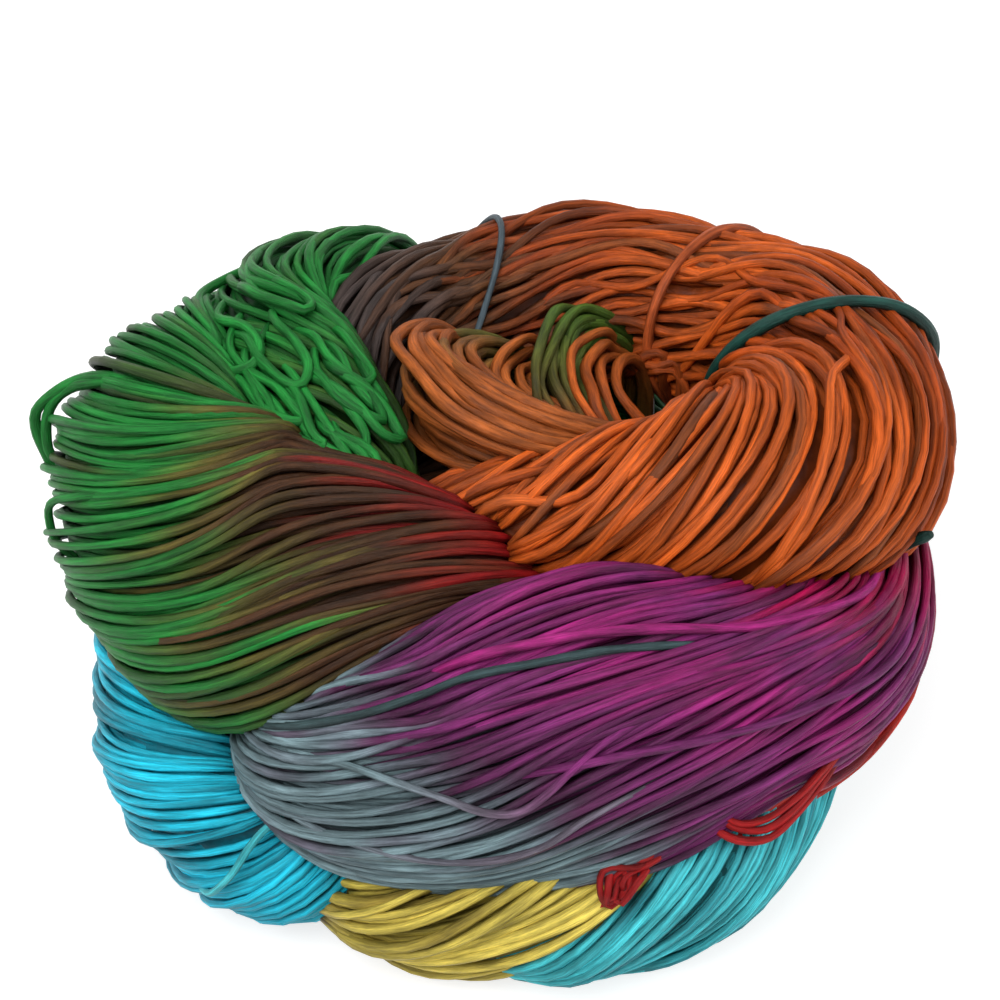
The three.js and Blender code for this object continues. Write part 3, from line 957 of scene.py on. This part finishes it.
def floor_material(colour):
    """A pale floor that looks white and keeps a faint shadow of the skein."""
    graph = Graph("pale_floor")
    graph.shader.inputs["Base Color"].default_value = (*colour, 1)
    graph.shader.inputs["Roughness"].default_value = FLOOR_ROUGHNESS
    graph.shader.inputs["Specular IOR Level"].default_value = 0.0
    graph.shader.inputs["Emission Color"].default_value = (1, 1, 1, 1)
    glow = graph.math("MULTIPLY", plain_view(graph.tree), FLOOR_GLOW)
    graph.tree.links.new(glow, graph.shader.inputs["Emission Strength"])
    return graph.material


# --- Settings ------------------------------------------------------------------------------------

class SkeinSettings(bpy.types.PropertyGroup):
    """Sizes and levels that a user would change."""

    yarn: bpy.props.FloatProperty(
        name="Yarn", description="Thickness of the yarn against its usual one", default=1.0, min=0.5, max=2.0)
    layers: bpy.props.IntProperty(
        name="Layers", description="Layers of single strands on each coil", default=2, min=1, max=3)
    roughness: bpy.props.FloatProperty(
        name="Roughness", description="How dull the silk's shine is", default=0.45, subtype="FACTOR")
    shine: bpy.props.FloatProperty(
        name="Shine", description="How strong the silk's shine is", default=0.2, subtype="FACTOR")
    floor_colour: bpy.props.FloatVectorProperty(
        name="Floor Colour", description="Colour of the floor under the skein", default=(0.5, 0.5, 0.5),
        subtype="COLOR")
    key_power: bpy.props.FloatProperty(
        name="Key Light", description="Power of the large lamp above the front", default=9.0, unit="POWER")
    fill_power: bpy.props.FloatProperty(
        name="Fill Light", description="Power of the lamp on the right", default=2.0, unit="POWER")
    sky_level: bpy.props.FloatProperty(
        name="Sky", description="Strength of the plain light from all around", default=0.5)
    lens: bpy.props.FloatProperty(
        name="Lens", description="Focal length of the camera", default=117.0, unit="CAMERA")
    distance: bpy.props.FloatProperty(
        name="Distance", description="From the camera to the skein", default=0.52, unit="LENGTH")
    elevation: bpy.props.FloatProperty(
        name="Elevation", description="Height of the camera above the horizon",
        default=math.radians(40), subtype="ANGLE")


class SkeinDyes(bpy.types.PropertyGroup):
    """Colours of the dyes."""

    __annotations__ = {
        name: bpy.props.FloatVectorProperty(
            name=name.title(), description=f"Colour of the {name} dye", default=colour, min=0, max=1,
            subtype="COLOR")
        for name, colour in DYES.items()}


# --- Operators -----------------------------------------------------------------------------------

class SKEIN_OT_coils(bpy.types.Operator):
    """Wind every coil from single strands"""

    bl_idname = "skein.coils"
    bl_label = "Wind Coils"

    def execute(self, context):
        material = yarn_material("dyed_silk")
        for name in COILS:
            layers = [wind(name, layer) for layer in range(context.scene.skein.layers)]
            mesh = strand_mesh("coil_" + name, sum(layers, [core(name)]))
            add_piece("coil_" + name, mesh, material, "skein")
        return {"FINISHED"}


class SKEIN_OT_loose(bpy.types.Operator):
    """Lay the loops, the curls and the stray strands on the coils"""

    bl_idname = "skein.loose"
    bl_label = "Lay Loose Strands"

    def execute(self, context):
        material = bpy.data.materials["dyed_silk"]
        rng = np.random.default_rng(SEED)
        groups = {"loops_" + name: loop_group(rng, group) for name, group in LOOPS.items()}
        for name, curl in CURLS.items():
            groups["curls_" + name] = [
                on_coil(rng, name, hairpin(rng, curl), COILS[name]["yarn"], ((0.0, curl["dye"]),))
                for _ in range(curl["count"])]
        groups["stray_strands"] = [
            on_coil(rng, name, rows, yarn, [(at / len(dyes), dye) for at, dye in enumerate(dyes)])
            for name, dyes, yarn, rows in LOOSE]
        for name, strands in groups.items():
            mesh = strand_mesh(name, strands)
            add_piece(name, mesh, material, "skein")
        return {"FINISHED"}


class SKEIN_OT_ties(bpy.types.Operator):
    """Tie the three short yarns round the top coil"""

    bl_idname = "skein.ties"
    bl_label = "Tie Yarns"

    def execute(self, context):
        rng = np.random.default_rng(SEED)
        for name, tie in TIES.items():
            mesh = strand_mesh(name + "_strand", tie_strands(rng, tie))
            add_piece(name + "_strand", mesh, yarn_material(name + "_silk"), name)
        return {"FINISHED"}


class SKEIN_OT_stage(bpy.types.Operator):
    """Add the floor, the soft light and the camera"""

    bl_idname = "skein.stage"
    bl_label = "Set Stage"

    def execute(self, context):
        settings = context.scene.skein
        bpy.ops.object.select_all(action="DESELECT")
        bpy.ops.mesh.primitive_plane_add(size=FLOOR_SIZE, location=(0, 0, 0))
        floor = context.object
        floor.name = "floor"
        floor.data.materials.append(floor_material(settings.floor_colour))
        aim = placed(AIM)
        lamp("key_lamp", aim=aim, power=settings.key_power, **KEY_LAMP)
        lamp("fill_lamp", aim=aim, power=settings.fill_power, **FILL_LAMP)
        world = context.scene.world or bpy.data.worlds.new("sky")
        context.scene.world = world
        world.use_nodes = True
        sky_strength(world.node_tree, settings.sky_level)
        way = np.array([0, math.cos(settings.elevation), -math.sin(settings.elevation)])
        eye = aim - settings.distance * way
        bpy.ops.object.camera_add(location=eye, rotation=(math.pi / 2 - settings.elevation, 0, 0))
        camera = context.object
        camera.data.lens = settings.lens
        camera.data.sensor_width = SENSOR
        camera.data.clip_start = NEAREST
        context.scene.camera = camera
        context.scene.view_settings.view_transform = "Standard"
        return {"FINISHED"}


def sky_strength(tree, level):
    """A plain white sky, at full strength only for the rays that look at it."""
    tree.nodes["Background"].inputs["Color"].default_value = (1, 1, 1, 1)
    share = tree.nodes.new("ShaderNodeMapRange")
    share.inputs["To Min"].default_value = level
    tree.links.new(plain_view(tree), share.inputs["Value"])
    tree.links.new(share.outputs["Result"], tree.nodes["Background"].inputs["Strength"])


def lamp(name, place, aim, size, power):
    """A large square lamp that faces the skein."""
    bpy.ops.object.light_add(type="AREA", location=place)
    light = bpy.context.object
    light.name = name
    light.data.size = size
    light.data.energy = power
    way = unit(np.array(aim) - np.array(place))
    light.rotation_euler = (math.acos(-way[2]), 0, math.atan2(way[0], -way[1]) + math.pi)
    return light


class SKEIN_PT_sidebar(bpy.types.Panel):
    """The skein's pieces and settings"""

    bl_label = "Skein of Silk Yarn"
    bl_space_type = "VIEW_3D"
    bl_region_type = "UI"
    bl_category = "Skein"

    def draw(self, context):
        for operator in OPERATORS:
            self.layout.operator(operator.bl_idname)
        for group, settings in (
                (SkeinSettings, context.scene.skein), (SkeinDyes, context.scene.skein_dyes)):
            for name in group.__annotations__:
                self.layout.prop(settings, name)


OPERATORS = (SKEIN_OT_coils, SKEIN_OT_loose, SKEIN_OT_ties, SKEIN_OT_stage)
CLASSES = (SkeinSettings, SkeinDyes, *OPERATORS, SKEIN_PT_sidebar)


def register():
    for item in CLASSES:
        bpy.utils.register_class(item)
    bpy.types.Scene.skein = bpy.props.PointerProperty(type=SkeinSettings)
    bpy.types.Scene.skein_dyes = bpy.props.PointerProperty(type=SkeinDyes)


def unregister():
    del bpy.types.Scene.skein_dyes, bpy.types.Scene.skein
    for item in reversed(CLASSES):
        bpy.utils.unregister_class(item)


def main():
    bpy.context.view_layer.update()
    register()
    bpy.ops.skein.coils()
    bpy.ops.skein.loose()
    bpy.ops.skein.ties()
    bpy.ops.skein.stage()


if __name__ == "__main__":
    main()
